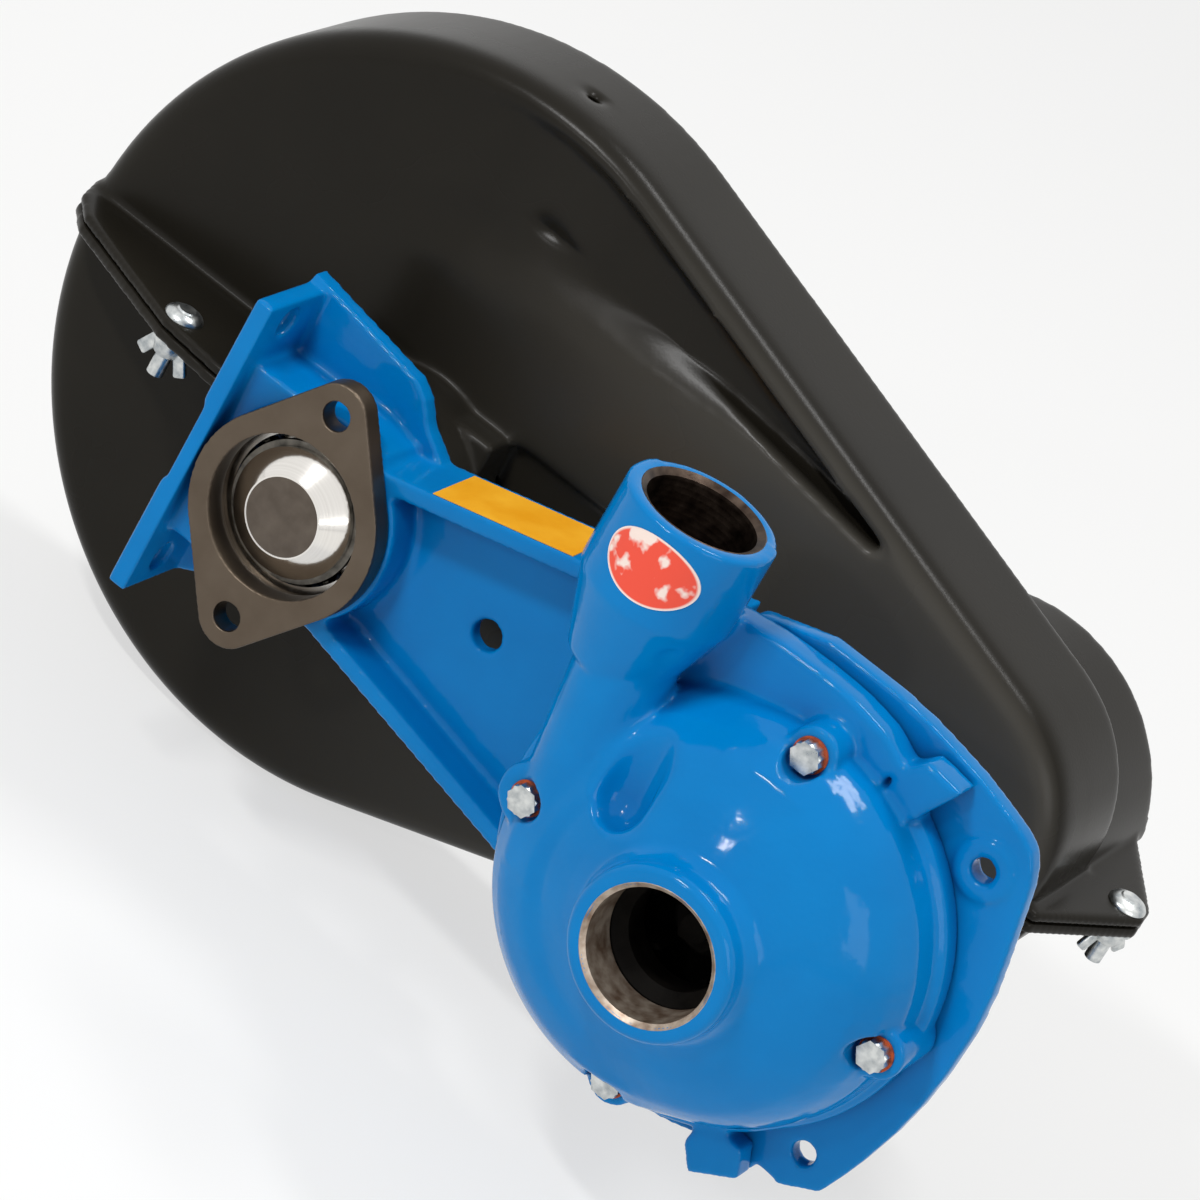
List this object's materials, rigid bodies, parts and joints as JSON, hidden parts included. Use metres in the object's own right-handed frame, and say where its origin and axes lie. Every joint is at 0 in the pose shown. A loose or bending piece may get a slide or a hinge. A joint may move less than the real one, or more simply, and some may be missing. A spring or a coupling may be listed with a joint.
{
  "type": "belt drive centrifugal pump",
  "caption": "Belt drive centrifugal pump for a power take-off: blue cast frame and volute, two-bolt bearing flange, black split belt guard, splined rear socket.",
  "frame": {"origin": "centre of the front bearing flange's face, on the drive axis", "axes": "+X from the drive axis to the pump axis, -Y out of the suction port (front), +Z out of the discharge port"},
  "size_m": [0.457, 0.2673, 0.2862],
  "materials": {
    "blue_enamel": "glossy blue enamel over cast iron",
    "zinc_steel": "zinc-plated steel",
    "rusty_steel": "plain steel gone orange with rust",
    "black_rubber": "black nitrile rubber",
    "belt_rubber": "black ribbed belt rubber",
    "cast_iron": "bare cast iron, machined faces",
    "ceramic": "off-white ceramic",
    "carbon_black": "black carbon and rubber",
    "spring_steel": "dark spring steel",
    "ground_steel": "turned and polished steel",
    "bearing_steel": "ground bearing steel",
    "flange_steel": "brown-grey oiled steel",
    "plated_steel": "plated steel plate",
    "guard_plastic": "black moulded plastic, satin",
    "amber_film": "plain amber film, no lettering",
    "red_film": "plain red film with a white rim, no lettering"
  },
  "bodies": {
    "frame": {"frame_casting": "blue_enamel", "volute_casing": "blue_enamel", "casing_bolts": "zinc_steel", "casing_washers": "rusty_steel", "casing_o_ring": "black_rubber", "seal_seat": "ceramic", "pump_front_bearing_outer": "bearing_steel", "pump_rear_bearing_outer": "bearing_steel", "drive_front_bearing_outer": "bearing_steel", "drive_rear_bearing_outer": "bearing_steel", "pump_snap_ring": "spring_steel", "drive_snap_ring": "spring_steel", "bearing_flange": "flange_steel", "drive_belt": "belt_rubber", "pivot_bolt": "zinc_steel", "tensioner_spring": "spring_steel", "guard_lower": "guard_plastic", "guard_washers": "zinc_steel", "guard_screws": "zinc_steel", "arm_label": "amber_film", "outlet_label": "red_film"},
    "drive_rotor": {"drive_shaft": "ground_steel", "drive_key": "ground_steel", "front_slinger": "ground_steel", "drive_front_bearing_inner": "bearing_steel", "drive_rear_bearing_inner": "bearing_steel", "drive_pulley": "cast_iron", "coupler_spring": "spring_steel", "coupler_balls": "bearing_steel", "coupler_ring": "spring_steel"},
    "pump_rotor": {"pump_shaft": "ground_steel", "pump_key": "ground_steel", "pump_front_bearing_inner": "bearing_steel", "pump_rear_bearing_inner": "bearing_steel", "pump_pulley": "cast_iron", "pulley_set_screw": "zinc_steel", "impeller": "cast_iron", "impeller_nut": "zinc_steel", "seal_head": "carbon_black", "seal_spring": "spring_steel"},
    "drive_front_balls": {"drive_front_bearing_balls": "bearing_steel"},
    "drive_rear_balls": {"drive_rear_bearing_balls": "bearing_steel"},
    "pump_front_balls": {"pump_front_bearing_balls": "bearing_steel"},
    "pump_rear_balls": {"pump_rear_bearing_balls": "bearing_steel"},
    "coupler": {"coupler_collar": "ground_steel"},
    "tensioner": {"tensioner_arm": "plated_steel", "idler_bolt": "zinc_steel"},
    "idler": {"idler_pulley": "ground_steel"},
    "upper_guard": {"guard_upper": "guard_plastic", "guard_bolts": "zinc_steel"},
    "left_wing_nut": {"wing_nut_left": "zinc_steel"},
    "right_wing_nut": {"wing_nut_right": "zinc_steel"}
  },
  "joints": [
    {"name": "drive_spin", "type": "hinge", "parent": "frame", "child": "drive_rotor", "pos_m": [0, 0, 0], "axis": [0, 1, 0], "continuous": true},
    {"name": "pump_spin", "type": "hinge", "parent": "frame", "child": "pump_rotor", "pos_m": [0.211, 0, 0], "axis": [0, 1, 0], "continuous": true},
    {"name": "drive_front_balls_orbit", "type": "hinge", "parent": "frame", "child": "drive_front_balls", "pos_m": [0, 0, 0], "axis": [0, 1, 0], "continuous": true},
    {"name": "drive_rear_balls_orbit", "type": "hinge", "parent": "frame", "child": "drive_rear_balls", "pos_m": [0, 0, 0], "axis": [0, 1, 0], "continuous": true},
    {"name": "pump_front_balls_orbit", "type": "hinge", "parent": "frame", "child": "pump_front_balls", "pos_m": [0.211, 0, 0], "axis": [0, 1, 0], "continuous": true},
    {"name": "pump_rear_balls_orbit", "type": "hinge", "parent": "frame", "child": "pump_rear_balls", "pos_m": [0.211, 0, 0], "axis": [0, 1, 0], "continuous": true},
    {"name": "coupler_slide", "type": "slide", "parent": "drive_rotor", "child": "coupler", "axis": [0, -1, 0], "range_m": [0, 0.006], "stiffness_N_per_m": 1500, "springref_m": -0.002},
    {"name": "tensioner_pivot", "type": "hinge", "parent": "frame", "child": "tensioner", "pos_m": [0.084, 0, -0.034], "axis": [0, 1, 0], "range_deg": [0, 5], "stiffness_Nm_per_rad": 12, "springref_deg": -6.88},
    {"name": "idler_spin", "type": "hinge", "parent": "tensioner", "child": "idler", "pos_m": [0.14, 0, -0.066], "axis": [0, 1, 0], "continuous": true},
    {"name": "guard_lift", "type": "slide", "parent": "frame", "child": "upper_guard", "axis": [0, 0, 1], "range_m": [0, 0.2]},
    {"name": "left_wing_nut_turn", "type": "hinge", "parent": "frame", "child": "left_wing_nut", "pos_m": [-0.083, 0.041, 0], "axis": [0, 0, 1], "continuous": true},
    {"name": "right_wing_nut_turn", "type": "hinge", "parent": "frame", "child": "right_wing_nut", "pos_m": [0.2935, 0.131, 0], "axis": [0, 0, 1], "continuous": true}
  ],
  "couplings": [
    {"joint": "pump_spin", "follows": "drive_spin", "ratio": 4.8696},
    {"joint": "drive_front_balls_orbit", "follows": "drive_spin", "ratio": 0.42309},
    {"joint": "drive_rear_balls_orbit", "follows": "drive_spin", "ratio": 0.42309},
    {"joint": "pump_front_balls_orbit", "follows": "drive_spin", "ratio": 1.8951},
    {"joint": "pump_rear_balls_orbit", "follows": "drive_spin", "ratio": 1.8951},
    {"joint": "idler_spin", "follows": "drive_spin", "ratio": -10.182}
  ]
}
